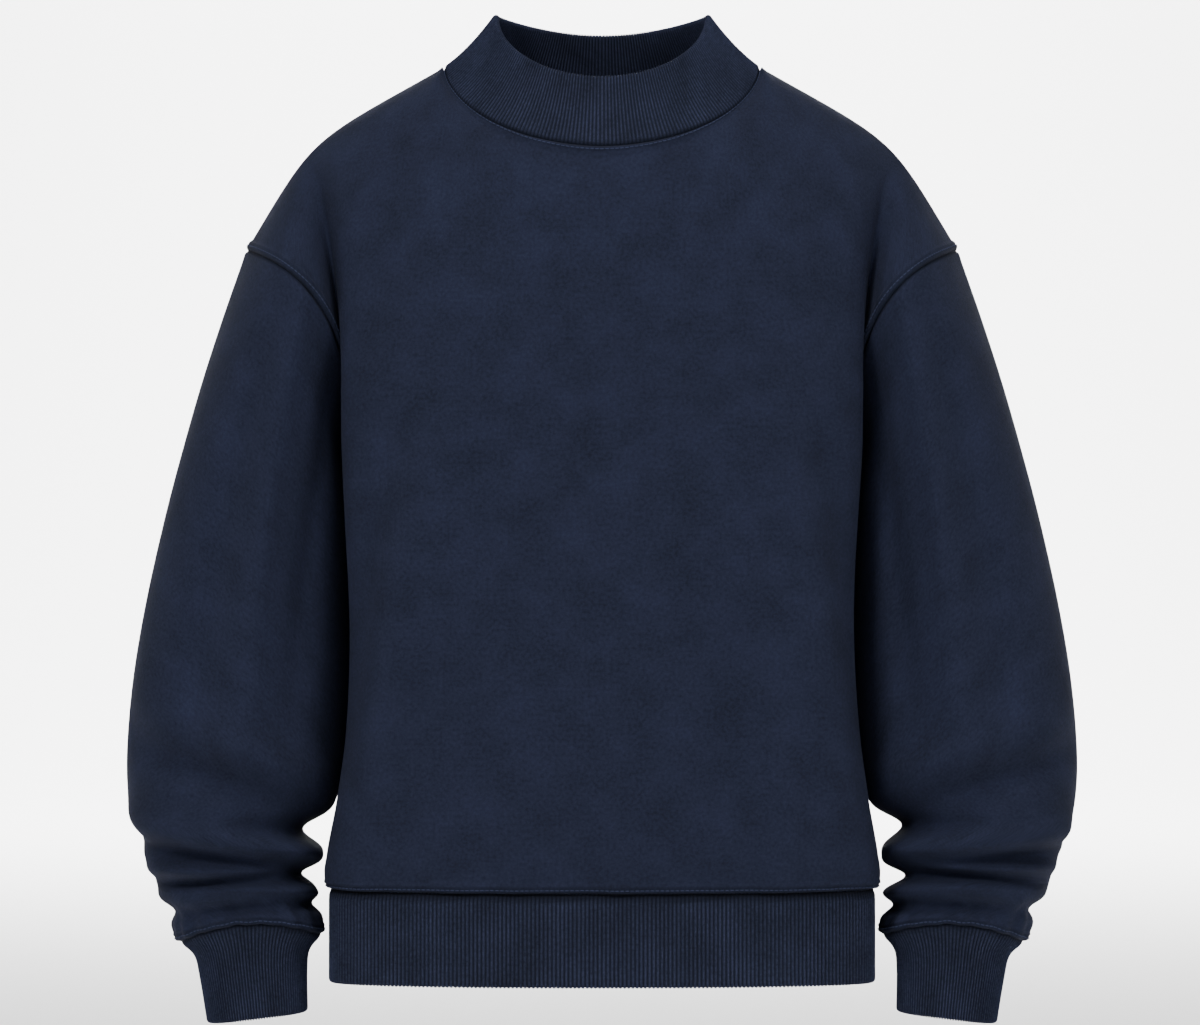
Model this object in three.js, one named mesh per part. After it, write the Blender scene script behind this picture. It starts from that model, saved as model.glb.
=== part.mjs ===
// A mock neck fleece pullover, filled out as if worn, with nobody in it.
//
// Eight sewn pieces, each a closed wall of cloth: front, back, two sleeves, and the ribbed collar,
// hem band and two cuffs. Neighbours share the points of their seam and stop short of it by half
// a seam gap each, so the gap is the same all along.
//
// Millimetres. +X is the wearer's left, the front faces -Y, +Z is up. The origin is between the high
// points of the shoulders, where the collar seam crosses the shoulder seams: the shoulders under it
// are what holds the garment up. Neck, cuffs, armholes and hem are open.
import * as THREE from "three";

// ---------------------------------------------------------------- driving dimensions

const FLEECE_WALL = 2.6; // brushed back fleece
const RIB_WALL = 4.4; // two layers of rib, folded at the free edge
const SEAM_GAP = 0.3; // between the edges of two pieces at a seam
const MOST_GROWTH = 1.4; // of a wall, measured along its edge, where the cloth turns sharply at a seam

const SIDE_Y = 5; // the plane of the shoulder and side seams
const UNDERARM_Z = -270;
const HEM_SEAM_Z = -604.5;
const HEM_HEIGHT = 67.5;

// Collar seam, seen from the front as the lower half of a slightly pointed oval.
const NECK = { halfWidth: 118, roundness: 1.85 };
// Collar rim: highest over the shoulders, low in front.
const RIM = { halfWidth: 79, y: 4, sideZ: 40 };
const COLLAR_HOLLOW = 7; // how far the collar curves in below a straight line from seam to rim

// What differs between the front (facing -Y) and the back (facing +Y).
const FRONT = {
  name: "front", toward: -1,
  neckDrop: 62.5, neckDepth: 94, neckSlope: 55, // slope in degrees where the panel meets the collar
  rimDrop: 50, rimDepth: 66, rimPeak: 1.05,
  armDepth: 78, armTurn: 0.9, valley: 19, cap: 8,
};
const BACK = {
  name: "back", toward: 1,
  neckDrop: 20, neckDepth: 84, neckSlope: 66,
  rimDrop: 10, rimDepth: 68, rimPeak: 2.2,
  armDepth: 76, armTurn: 0.92, valley: 6, cap: 7,
};

// Body below the arms, a row for each level. edge: half width at the front and back corners of the
// section. front, back: depth at the centre. corner: depth of the corners. tuck: how far the side
// seam lies inside the corners, where the sleeve presses on it.
const TORSO = [
  { z: -270, edge: 190.5, front: 121, back: 113, corner: 64, tuck: 2 },
  { z: -330, edge: 189, front: 125, back: 112, corner: 64, tuck: 7 },
  { z: -415, edge: 189, front: 128, back: 112, corner: 62, tuck: 8 },
  { z: -497, edge: 192, front: 129, back: 113, corner: 60, tuck: 8 },
  { z: -545, edge: 196.5, front: 129, back: 114, corner: 58, tuck: 4 },
  { z: -580, edge: 201.5, front: 128, back: 115, corner: 56, tuck: 0 },
  { z: -597, edge: 203, front: 126, back: 115, corner: 54, tuck: -1 },
  { z: HEM_SEAM_Z, edge: 199.5, front: 123, back: 112, corner: 52, tuck: -2 },
];
const SECTION_ROUNDNESS = 2.3;

// Shoulder seam and armhole, as seen from the front, on the wearer's left: [x, z] of curve controls.
const SHOULDER_TIP = [263.4, -134.7];
const UNDERARM = [188.5, UNDERARM_Z];
const SHOULDER_CURVE = [[NECK.halfWidth, 0], [220, -56.5], [212.6, -49.8], SHOULDER_TIP];
const ARMHOLE_CURVE = [SHOULDER_TIP, [240, -145], [178, -168], UNDERARM];

// Sleeve, a row for each ring from the armhole to the cuff. outer and inner edge of the ring seen
// from the front (x, z), then its middle y, and its depth to the front and the back.
const SLEEVE = [
  { outerX: 263.4, outerZ: -134.7, innerX: 188.5, innerZ: -270, y: 5, front: 82, back: 78 },
  { outerX: 281.6, outerZ: -186.5, innerX: 194, innerZ: -302, y: 6, front: 80, back: 78 },
  { outerX: 298, outerZ: -237, innerX: 189, innerZ: -335, y: 8, front: 79, back: 78 },
  { outerX: 313, outerZ: -290, innerX: 187, innerZ: -372, y: 10, front: 78, back: 78 },
  { outerX: 326.3, outerZ: -342, innerX: 186, innerZ: -410, y: 11, front: 78, back: 78 },
  { outerX: 338, outerZ: -395, innerX: 186, innerZ: -447, y: 11, front: 79, back: 78 },
  { outerX: 346.5, outerZ: -445, innerX: 187, innerZ: -480, y: 9, front: 80, back: 77 },
  { outerX: 351, outerZ: -492, innerX: 190.5, innerZ: -512, y: 5, front: 79, back: 75 },
  { outerX: 351, outerZ: -530, innerX: 197, innerZ: -543, y: 0, front: 76, back: 71 },
  { outerX: 345, outerZ: -567, innerX: 204, innerZ: -571, y: -6, front: 70, back: 65 },
  { outerX: 333, outerZ: -592, innerX: 206, innerZ: -592, y: -11, front: 64, back: 59 },
  { outerX: 325, outerZ: -617, innerX: 205, innerZ: -614, y: -15, front: 58, back: 53 },
  { outerX: 311, outerZ: -645.3, innerX: 206, innerZ: -639.4, y: -19, front: 46, back: 42 },
];
const SLEEVE_LENGTH = 500; // along the middle of the sleeve, for turning fold widths into shares
const ARMHOLE_FADE = 0.3; // share of the sleeve over which the armhole's curve dies out

// Cuff, as the sleeve, from its seam to its free edge.
const CUFF = [
  { outerX: 311, outerZ: -645.3, innerX: 206, innerZ: -639.4, y: -19, front: 46, back: 42 },
  { outerX: 300, outerZ: -654.5, innerX: 215.5, innerZ: -650, y: -20, front: 38, back: 35 },
  { outerX: 295.5, outerZ: -672, innerX: 217.5, innerZ: -666, y: -22, front: 33, back: 31 },
  { outerX: 290, outerZ: -704, innerX: 217, innerZ: -695.5, y: -25, front: 30, back: 29 },
];
const CUFF_SEAM_RISE = 12; // the cuff seam rises this much in front and behind

// Folds stacked on the lower sleeve, the ones wide enough to shape the solid. from: share of the
// sleeve where the fold starts. angle: degrees round from the outer line, negative to the front.
// sweep: degrees it runs on round the sleeve. fall: how far it runs down the sleeve, in mm.
const SLEEVE_FOLDS = {
  left: [
    { from: 0.715, angle: -80, sweep: -190, fall: 2, depth: 20, width: 15 },
    { from: 0.845, angle: -70, sweep: -180, fall: 3, depth: 16, width: 12 },
    { from: 0.925, angle: -50, sweep: -200, fall: 4, depth: 11, width: 9 },
    { from: 0.73, angle: -25, sweep: 210, fall: 20, depth: 9, width: 14 },
    { from: 0.86, angle: 20, sweep: 190, fall: 6, depth: 9, width: 12 },
    { from: 0.925, angle: 45, sweep: -90, fall: 2, depth: 9, width: 9 },
  ],
  right: [
    { from: 0.725, angle: -84, sweep: -185, fall: 0, depth: 19, width: 15 },
    { from: 0.84, angle: -64, sweep: -185, fall: 4, depth: 17, width: 12 },
    { from: 0.92, angle: -54, sweep: -195, fall: 5, depth: 10, width: 9 },
    { from: 0.75, angle: -30, sweep: 205, fall: 16, depth: 9, width: 14 },
    { from: 0.87, angle: 15, sweep: 195, fall: 8, depth: 8, width: 12 },
    { from: 0.93, angle: 40, sweep: -85, fall: 2, depth: 8, width: 9 },
  ],
};

// Mesh counts. Half the width of a panel has three runs of columns: to the collar, to the corner of
// the body, and round its side.
const COLUMNS = { neck: 5, chest: 5, side: 3 };
const TORSO_ROWS = 9;
const YOKE_ROWS = 11;
const SLEEVE_ROWS = 18;
const COLLAR_ROWS = 5;
const HEM_ROWS = 3;
const CUFF_ROWS = 3;

const HALF_COLUMNS = COLUMNS.neck + COLUMNS.chest + COLUMNS.side;
const NECK_SHARE = COLUMNS.neck / HALF_COLUMNS;
const CORNER_SHARE = (COLUMNS.neck + COLUMNS.chest) / HALF_COLUMNS;

const NAVY = 0x262b3d;
const NAVY_RIB = 0x222636;

// ---------------------------------------------------------------- small mathematics

const radians = (degrees) => (degrees * Math.PI) / 180;
const mix = (a, b, share) => a + (b - a) * share;
const clamp = (value, low, high) => Math.min(high, Math.max(low, value));
const ease = (value) => {
  const t = clamp(value, 0, 1);
  return t * t * (3 - 2 * t);
};

/** A cubic curve through the first and last of four [x, z] controls. */
function cubic(controls, t) {
  const u = 1 - t;
  const weights = [u * u * u, 3 * u * u * t, 3 * u * t * t, t * t * t];
  return [0, 1].map((axis) => controls.reduce((sum, c, i) => sum + weights[i] * c[axis], 0));
}

/** Smooth values between the rows of a table, at a position counted in rows. */
function tableAt(table, position) {
  const last = table.length - 1;
  const i = clamp(Math.floor(position), 0, last - 1);
  const t = position - i;
  const [a, b, c, d] = [i - 1, i, i + 1, i + 2].map((k) => table[clamp(k, 0, last)]);
  const row = {};
  for (const key of Object.keys(b)) {
    const slopeB = (c[key] - a[key]) / 2;
    const slopeC = (d[key] - b[key]) / 2;
    row[key] = (2 * t ** 3 - 3 * t ** 2 + 1) * b[key] + (t ** 3 - 2 * t ** 2 + t) * slopeB
      + (3 * t ** 2 - 2 * t ** 3) * c[key] + (t ** 3 - t ** 2) * slopeC;
  }
  return row;
}

/** The torso's row at a height, read between the two rows that hold it. */
function torsoAt(z) {
  const next = TORSO.findIndex((row) => row.z <= z);
  const i = Math.max(1, next < 0 ? TORSO.length - 1 : next);
  return tableAt(TORSO, i - 1 + (TORSO[i - 1].z - z) / (TORSO[i - 1].z - TORSO[i].z));
}

// ---------------------------------------------------------------- seams

/** The collar seam. turn runs from 0 at the centre of the face to 1 at the shoulder. */
function neckSeam(face, turn) {
  const angle = radians(90 * turn);
  const power = 2 / NECK.roundness;
  return new THREE.Vector3(
    NECK.halfWidth * Math.sin(angle) ** power,
    SIDE_Y + face.toward * face.neckDepth * Math.cos(angle),
    -face.neckDrop * Math.cos(angle) ** power,
  );
}

/** The free edge of the collar, at the same turn as neckSeam. */
function collarRim(face, turn) {
  const angle = radians(90 * turn);
  return new THREE.Vector3(
    RIM.halfWidth * Math.sin(angle),
    RIM.y + face.toward * face.rimDepth * Math.cos(angle),
    RIM.sideZ - face.rimDrop * Math.cos(angle) ** face.rimPeak,
  );
}

/** The shoulder seam, from the collar at 0 to the tip of the shoulder at 1. */
function shoulderSeam(share) {
  const [x, z] = cubic(SHOULDER_CURVE, share);
  return new THREE.Vector3(x, SIDE_Y, z);
}

/** Half of an armhole, from the tip of the shoulder at 0 to the underarm at 1. */
function armhole(face, share) {
  const [x, z] = cubic(ARMHOLE_CURVE, share);
  const y = SIDE_Y + face.toward * face.armDepth * Math.sin(Math.PI * share ** face.armTurn);
  return new THREE.Vector3(x, y, z);
}

// ---------------------------------------------------------------- surfaces

/** A level section of the body, from the centre of the face at 0 to the side seam at 1. */
function torsoPoint(face, across, z) {
  const row = torsoAt(z);
  const depth = face.toward < 0 ? row.front : row.back;
  if (across <= CORNER_SHARE) {
    const reach = Math.sin(radians(90) * (across / CORNER_SHARE));
    const fall = (1 - reach ** SECTION_ROUNDNESS) ** (1 / SECTION_ROUNDNESS);
    return new THREE.Vector3(row.edge * reach,
      SIDE_Y + face.toward * (row.corner + (depth - row.corner) * fall), z);
  }
  const round = (across - CORNER_SHARE) / (1 - CORNER_SHARE);
  return new THREE.Vector3(row.edge - row.tuck * Math.sin(radians(90) * round) ** 2,
    SIDE_Y + face.toward * row.corner * (1 - round), z);
}

/** A column of the yoke, curving up from the underarm level to the collar or shoulder seam. */
function yokeColumn(face, across, rise) {
  const low = torsoPoint(face, across, UNDERARM_Z);
  const onNeck = across < NECK_SHARE;
  const high = onNeck ? neckSeam(face, across / NECK_SHARE)
    : shoulderSeam((across - NECK_SHARE) / (1 - NECK_SHARE));
  const last = radians(onNeck ? mix(face.neckSlope, 86, ease(across / NECK_SHARE)) : 88);
  const power = 2 / 2.2;
  const angle = rise * last;
  const back = (1 - Math.cos(angle) ** power) / (1 - Math.cos(last) ** power);
  const up = (Math.sin(angle) / Math.sin(last)) ** power;
  return new THREE.Vector3(mix(low.x, high.x, rise ** 2), mix(low.y, high.y, back), mix(low.z, high.z, up));
}

/** The body above the underarm: a smooth front, then a valley, then the cap over the upper arm. */
function yokePoint(face, across, rise) {
  if (across <= CORNER_SHARE) return yokeColumn(face, across, rise);
  const round = (across - CORNER_SHARE) / (1 - CORNER_SHARE);
  const corner = yokeColumn(face, CORNER_SHARE, rise);
  const edge = armhole(face, 1 - rise);
  const top = shoulderSeam((across - NECK_SHARE) / (1 - NECK_SHARE));
  const straightTop = shoulderSeam((CORNER_SHARE - NECK_SHARE) / (1 - NECK_SHARE))
    .lerp(shoulderSeam(1), round);
  const low = torsoPoint(face, across, UNDERARM_Z);
  const straightLow = torsoPoint(face, CORNER_SHARE, UNDERARM_Z)
    .lerp(torsoPoint(face, 1, UNDERARM_Z), round);
  const point = corner.clone().lerp(edge, round);
  point.addScaledVector(top.sub(straightTop), ease(rise));
  point.addScaledVector(low.sub(straightLow), 1 - ease(rise));
  const valley = face.valley * ease(rise / 0.45) * ease((0.97 - rise) / 0.5);
  point.y -= face.toward * valley * 6.75 * round * (1 - round) ** 2;
  const cap = face.cap * Math.sin(Math.PI * rise) * Math.sin(Math.PI * round) * ease(rise / 0.6);
  point.y += face.toward * cap;
  return point;
}

/** A ring of the sleeve or cuff. around is 0 on the outer line and 1 or -1 on the inner one. */
function ringPoint(row, around) {
  const face = around <= 0 ? FRONT : BACK;
  const share = Math.abs(around);
  const across = (1 - Math.cos(Math.PI * share)) / 2;
  const depth = face.toward < 0 ? row.front : row.back;
  return new THREE.Vector3(
    mix(row.outerX, row.innerX, across),
    row.y + face.toward * depth * Math.sin(Math.PI * share) ** 0.92,
    mix(row.outerZ, row.innerZ, across),
  );
}

/** How deep the folds are at a place on the sleeve. */
function foldDepth(folds, along, around) {
  let total = 0;
  for (const fold of folds) {
    const turned = (around * 180 - fold.angle) * Math.sign(fold.sweep);
    const share = (((turned % 360) + 360) % 360) / Math.abs(fold.sweep);
    if (share > 1) continue;
    const off = (along - fold.from) * SLEEVE_LENGTH - fold.fall * share;
    total += fold.depth * Math.sin(Math.PI * share) ** 0.8 * Math.exp(-((off / fold.width) ** 2));
  }
  return total;
}

/** The sleeve, on the wearer's left, from the armhole at 0 to the cuff seam at 1. */
function sleevePoint(folds, along, around) {
  const row = tableAt(SLEEVE, along * (SLEEVE.length - 1));
  const point = ringPoint(row, around);
  const face = around <= 0 ? FRONT : BACK;
  const share = Math.abs(around);
  const seam = armhole(face, share).sub(ringPoint(SLEEVE[0], around));
  point.addScaledVector(seam, ease(1 - along / ARMHOLE_FADE));
  point.z += CUFF_SEAM_RISE * Math.sin(Math.PI * share) ** 2 * ease((along - 0.8) / 0.2);
  const middle = new THREE.Vector3((row.outerX + row.innerX) / 2, row.y, (row.outerZ + row.innerZ) / 2);
  const inward = middle.sub(point).normalize();
  return point.addScaledVector(inward, foldDepth(folds, along, around) * ease((1 - along) / 0.05));
}

/** The cuff, on the wearer's left, from its seam at 0 to its free edge at 1. */
function cuffPoint(along, around) {
  const point = ringPoint(tableAt(CUFF, along * (CUFF.length - 1)), around);
  point.z += CUFF_SEAM_RISE * Math.sin(Math.PI * Math.abs(around)) ** 2 * ease(1 - along / 0.5);
  return point;
}

/** The collar, from its seam at 0 to its rim at 1. */
function collarPoint(face, turn, rise) {
  const seam = neckSeam(face, turn);
  const rim = collarRim(face, turn);
  const bend = seam.clone().lerp(rim, 0.5);
  bend.z -= COLLAR_HOLLOW;
  const u = 1 - rise;
  return seam.multiplyScalar(u * u).addScaledVector(bend, 2 * u * rise).addScaledVector(rim, rise * rise);
}

// ---------------------------------------------------------------- pieces as grids of points

/** n + 1 even steps from a to b. */
const steps = (a, b, n) => Array.from({ length: n + 1 }, (_, i) => mix(a, b, i / n));

/** A grid: rows of points. closed means that each row is a ring whose last point joins its first. */
const grid = (rows, closed = false) => ({ rows, closed });

/** Front or back panel, from the hem up, each row from the wearer's right to the left. */
function bodyGrid(face) {
  const across = steps(-1, 1, 2 * HALF_COLUMNS);
  const mirrored = (s, point) => (s < 0 ? point.setX(-point.x) : point);
  const torso = steps(HEM_SEAM_Z, UNDERARM_Z, TORSO_ROWS)
    .map((z) => across.map((s) => mirrored(s, torsoPoint(face, Math.abs(s), z))));
  const yoke = steps(0, 1, YOKE_ROWS).slice(1)
    .map((rise) => across.map((s) => mirrored(s, yokePoint(face, Math.abs(s), rise))));
  return grid([...torso, ...yoke]);
}

/** Places round a sleeve or cuff, outer line to inner by the front and back again behind. */
const around = () => steps(0, 2, 2 * YOKE_ROWS).slice(0, -1).map((a) => (a <= 1 ? -a : 2 - a));

function sleeveGrid(folds) {
  return grid(steps(0, 1, SLEEVE_ROWS).map((v) => {
    const along = mix(v, 1 - (1 - v) ** 1.35, 0.6); // rings lie closer where the folds are
    return around().map((a) => sleevePoint(folds, along, a));
  }), true);
}

const cuffGrid = () => grid(steps(0, 1, CUFF_ROWS).map((v) => around().map((a) => cuffPoint(v, a))), true);

/** Goes round the neck or hem: the front from right to left, then the back from left to right. */
function bodyRound(columns, place) {
  const half = steps(-1, 1, 2 * columns);
  const front = half.slice(0, -1).map((s) => place(FRONT, s));
  const back = half.slice(1).reverse().map((s) => place(BACK, s));
  return [...front, ...back];
}

const onSide = (s, point) => (s < 0 ? point.setX(-point.x) : point);

function collarGrid() {
  return grid(steps(0, 1, COLLAR_ROWS).map((rise) => bodyRound(COLUMNS.neck,
    (face, s) => onSide(s, collarPoint(face, Math.abs(s), rise)))), true);
}

function hemGrid() {
  return grid(steps(0, 1, HEM_ROWS).map((share) => bodyRound(HALF_COLUMNS, (face, s) => {
    const point = onSide(s, torsoPoint(face, Math.abs(s), HEM_SEAM_Z));
    return point.setZ(HEM_SEAM_Z - HEM_HEIGHT * share);
  })), true);
}

function mirror(source) {
  const rows = source.rows.map((row) => row.map((p) => p.clone().setX(-p.x)));
  return { ...source, rows, turned: !source.turned };
}

// ---------------------------------------------------------------- grids to walls

const neighbour = (g, r, c) => {
  const row = g.rows[clamp(r, 0, g.rows.length - 1)];
  return row[g.closed ? (c + row.length) % row.length : clamp(c, 0, row.length - 1)];
};

/** Outward normals of a grid. Rows run so that across x up points out, unless the grid is turned. */
function normals(g) {
  return g.rows.map((row, r) => row.map((_, c) => {
    const across = neighbour(g, r, c + 1).clone().sub(neighbour(g, r, c - 1));
    const up = neighbour(g, r + 1, c).clone().sub(neighbour(g, r - 1, c));
    return across.cross(up).multiplyScalar(g.turned ? -1 : 1).normalize();
  }));
}

const place = (p) => [p.x, p.y, p.z].map((v) => v.toFixed(3)).join();

/** Visits the points of a grid that lie on its edges. */
function visitEdges(g, visit) {
  g.rows.forEach((row, r) => row.forEach((p, c) => {
    const onEnd = r === 0 || r === g.rows.length - 1;
    if (onEnd || (!g.closed && (c === 0 || c === row.length - 1))) visit(p, r, c);
  }));
}

/**
 * Turns the wall of every piece at a seam to the mean direction of the pieces that meet there, so
 * that walls meet edge to edge. Front and back count as one body. Where the cloth turns sharply,
 * as under the arm, the wall is let grow to keep its thickness.
 */
function shareSeamNormals(grids) {
  const met = new Map();
  for (const g of grids) {
    visitEdges(g, (p, r, c) => {
      const seam = met.get(place(p)) ?? { body: new THREE.Vector3(), tube: new THREE.Vector3() };
      seam[g.closed ? "tube" : "body"].add(g.normals[r][c]);
      met.set(place(p), seam);
    });
  }
  for (const g of grids) {
    visitEdges(g, (p, r, c) => {
      const seam = met.get(place(p));
      const shared = seam.body.clone().normalize().add(seam.tube.clone().normalize()).normalize();
      const growth = 1 / clamp(shared.dot(g.normals[r][c]), 1 / MOST_GROWTH, 1);
      g.normals[r][c].copy(shared.multiplyScalar(growth));
    });
  }
}

/** How far a point moves off the seams it lies on, square to each, in the plane of the cloth. */
function seamShift(g, r, c) {
  const shift = new THREE.Vector3();
  const normal = g.normals[r][c].clone().normalize();
  const away = (alongA, alongB, inner) => {
    const side = alongB.clone().sub(alongA).cross(normal).normalize();
    const inward = inner.clone().sub(g.rows[r][c]);
    shift.addScaledVector(side, (SEAM_GAP / 2) * Math.sign(side.dot(inward)));
  };
  const last = g.rows.length - 1;
  const [left, right] = [neighbour(g, r, c - 1), neighbour(g, r, c + 1)];
  const [down, up] = [neighbour(g, r - 1, c), neighbour(g, r + 1, c)];
  if (r === 0 && !g.freeStart) away(left, right, up);
  if (r === last && !g.freeEnd) away(left, right, down);
  if (!g.closed && c === 0) away(down, up, right);
  if (!g.closed && c === g.rows[r].length - 1) away(down, up, left);
  return shift;
}

/** Two triangles for four corners in turn, cut along the shorter diagonal. */
function quadTriangles([a, b, c, d], [pa, pb, pc, pd]) {
  return pa.distanceTo(pc) <= pb.distanceTo(pd) ? [a, b, c, a, c, d] : [b, c, d, b, d, a];
}

/** A closed wall: the grid, the grid moved in by the wall, and strips that join their edges. */
function wallGeometry(g, wall) {
  const across = g.rows[0].length;
  const outer = g.rows.map((row, r) => row.map((p, c) => p.clone().add(seamShift(g, r, c))));
  const inner = outer.map((row, r) => row.map((p, c) => p.clone().addScaledVector(g.normals[r][c], -wall)));
  const points = [...outer.flat(), ...inner.flat()];
  const half = outer.length * across;
  const last = outer.length - 1;
  const columns = g.closed ? across : across - 1;
  const at = (r, c) => r * across + (c % across);
  const index = [];
  const face = (corners, outward, like = corners) => {
    const triangles = quadTriangles(corners, like.map((i) => points[i]));
    index.push(...(outward === Boolean(g.turned) ? triangles.reverse() : triangles));
  };
  const strip = (a, b) => face([b, a, a + half, b + half], true);
  for (let r = 0; r < last; r++) {
    for (let c = 0; c < columns; c++) {
      const corners = [at(r, c), at(r, c + 1), at(r + 1, c + 1), at(r + 1, c)];
      face(corners, true);
      face(corners.map((i) => i + half), false, corners);
    }
  }
  for (let c = 0; c < columns; c++) {
    strip(at(0, c), at(0, c + 1));
    strip(at(last, c + 1), at(last, c));
  }
  for (let r = 0; !g.closed && r < last; r++) {
    strip(at(r + 1, 0), at(r, 0));
    strip(at(r, across - 1), at(r + 1, across - 1));
  }
  const geometry = new THREE.BufferGeometry().setFromPoints(points);
  geometry.setIndex(index);
  geometry.computeVertexNormals();
  return geometry;
}

// ---------------------------------------------------------------- the garment

const fleece = new THREE.MeshStandardMaterial({ name: "fleece", color: NAVY, roughness: 0.95, metalness: 0 });
const rib = new THREE.MeshStandardMaterial({ name: "rib", color: NAVY_RIB, roughness: 0.92, metalness: 0 });

const leftCuff = { ...cuffGrid(), freeEnd: true };

const PIECES = [
  { name: "front", grid: bodyGrid(FRONT), wall: FLEECE_WALL, material: fleece },
  { name: "back", grid: { ...bodyGrid(BACK), turned: true }, wall: FLEECE_WALL, material: fleece },
  { name: "sleeve_left", grid: sleeveGrid(SLEEVE_FOLDS.left), wall: FLEECE_WALL, material: fleece },
  { name: "sleeve_right", grid: mirror(sleeveGrid(SLEEVE_FOLDS.right)), wall: FLEECE_WALL, material: fleece },
  { name: "collar", grid: { ...collarGrid(), freeEnd: true }, wall: RIB_WALL, material: rib },
  { name: "hem_band", grid: { ...hemGrid(), turned: true, freeEnd: true }, wall: RIB_WALL, material: rib },
  { name: "cuff_left", grid: leftCuff, wall: RIB_WALL, material: rib },
  { name: "cuff_right", grid: mirror(leftCuff), wall: RIB_WALL, material: rib },
];

for (const piece of PIECES) piece.grid.normals = normals(piece.grid);
shareSeamNormals(PIECES.map((piece) => piece.grid));

const pullover = new THREE.Group();
for (const { name, grid: g, wall, material } of PIECES) {
  const mesh = new THREE.Mesh(wallGeometry(g, wall), material);
  mesh.name = name;
  pullover.add(mesh);
}

export default pullover;
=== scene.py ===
"""A mock neck fleece pullover, filled out as if worn, with nobody in it.

The cloth follows the eight solids of the frame: front, back, two sleeves, and the ribbed collar,
hem band and cuffs. Each piece is a thin wall with its creases, its seams and its ribs as real shape.
Lengths are worked out in millimetres and turned into metres when a mesh is made. +X is the wearer's
left, the front faces -Y and +Z is up. The origin lies between the high points of the shoulders.
"""

import logging
import math
from dataclasses import dataclass, field
from enum import Enum
from typing import Any, Callable, Dict, List, Optional, Sequence, Tuple

import bpy
import numpy as np
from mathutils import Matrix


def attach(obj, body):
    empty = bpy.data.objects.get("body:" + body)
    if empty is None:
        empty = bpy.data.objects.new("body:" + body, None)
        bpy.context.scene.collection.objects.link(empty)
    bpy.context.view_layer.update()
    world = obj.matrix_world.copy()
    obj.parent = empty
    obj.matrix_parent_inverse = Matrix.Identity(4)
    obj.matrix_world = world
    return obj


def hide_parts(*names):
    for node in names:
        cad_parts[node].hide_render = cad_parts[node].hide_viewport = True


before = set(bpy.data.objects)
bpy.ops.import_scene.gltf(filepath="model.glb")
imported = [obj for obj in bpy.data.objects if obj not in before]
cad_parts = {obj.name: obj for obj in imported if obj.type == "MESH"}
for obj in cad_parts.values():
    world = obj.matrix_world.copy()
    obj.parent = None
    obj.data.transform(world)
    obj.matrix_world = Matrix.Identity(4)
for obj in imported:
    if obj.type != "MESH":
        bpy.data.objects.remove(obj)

Array = np.ndarray

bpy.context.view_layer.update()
MM = 0.001
GARMENT_MIDDLE = (0.0, 0.0, -0.329)  # metres

log = logging.getLogger("pullover")

# ---------------------------------------------------------------- driving sizes, in millimetres

FLEECE_WALL = 2.6
RIB_WALL = 4.4
SIDE_Y = 5.0
UNDERARM_Z = -270.0
HEM_SEAM_Z = -604.5
HEM_HEIGHT = 67.5
NECK_HALF_WIDTH = 118.0
NECK_ROUNDNESS = 1.85
RIM_HALF_WIDTH = 79.0
RIM_Y = 4.0
RIM_SIDE_Z = 40.0
COLLAR_HOLLOW = 7.0
SECTION_ROUNDNESS = 2.3
SLEEVE_LENGTH = 500.0
ARMHOLE_FADE = 0.3
CUFF_SEAM_RISE = 12.0
HALF_GIRTH = 250.0  # mm of cloth for half a turn of the sleeve
RIB_PITCH = 3.0
RIB_DEPTH = 1.15
STITCH_PITCH = 3.6
STITCH_LENGTH = 2.7
STITCH_RADIUS = 0.42
TOPSTITCH_FROM_SEAM = 5.3

LINES_NEAR_EDGE = 24  # of a grid, which reach well past the topstitching

# Cloth beside a seam: its groove, the ridge of the turned allowance, and what the topstitching pulls in.
GROOVE_DEPTH = 1.5
GROOVE_WIDTH = 1.6
RIDGE_RISE = 2.2
RIDGE_END = 9.0
RIDGE_FALL = 3.0
PULL_SHARE = 0.5
PULL_WIDTH = 0.95
# Painted shade: how much darker the cloth is coloured in a seam and under its stitches, and over how many
# mm.
SEAM_SHADE = 0.85
SEAM_SHADE_WIDTH = 2.0
STITCH_SHADE = 0.45
STITCH_SHADE_WIDTH = 1.1

# A ribbed band: its groove at the seam, where its ribs begin, and the shape of a rib and of its free edge.
BAND_GROOVE_DEPTH = 1.3
BAND_GROOVE_WIDTH = 1.8
RIB_START = 0.5
RIB_RISE = 3.0
RIB_FULLNESS = 0.7
EDGE_STEPS = 9
EDGE_SOFTNESS = 6

# Shares of the yoke's rise, and how its curves are shaped.
YOKE_ROUNDNESS = 2.2
SHOULDER_SLOPE = 87.0  # degrees at the shoulder seam
VALLEY_RISE, VALLEY_END, VALLEY_FALL = 0.45, 0.97, 0.5
VALLEY_SCALE = 6.75  # p * (1 - p) ** 2 is 1 / 6.75 at its highest
CAP_RISE = 0.6
SLEEVE_ROUNDNESS = 0.92

# How folds are shaped.
FOLD_FULLNESS = 0.8
LIP_ABOVE = 1.9  # times the fold's width
LIP_WIDTH = 1.1  # times the fold's width
FOLD_BEND = 0.06

NECK_SHARE = 5 / 13  # of half a panel's width: to the collar
CORNER_SHARE = 10 / 13  # and on to the corner of the body


@dataclass(frozen=True)
class Side:
    """What differs between the front and the back of the garment, in mm and degrees."""

    name: str
    toward: int
    neck_drop: float
    neck_depth: float
    neck_slope: float
    rim_drop: float
    rim_depth: float
    rim_peak: float
    arm_depth: float
    arm_turn: float
    valley: float
    cap: float


FRONT = Side("front", -1, 62.5, 94, 55, 50, 66, 1.05, 78, 0.9, 19, 8)
BACK = Side("back", 1, 20, 84, 66, 10, 68, 2.2, 76, 0.92, 6, 7)

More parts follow.
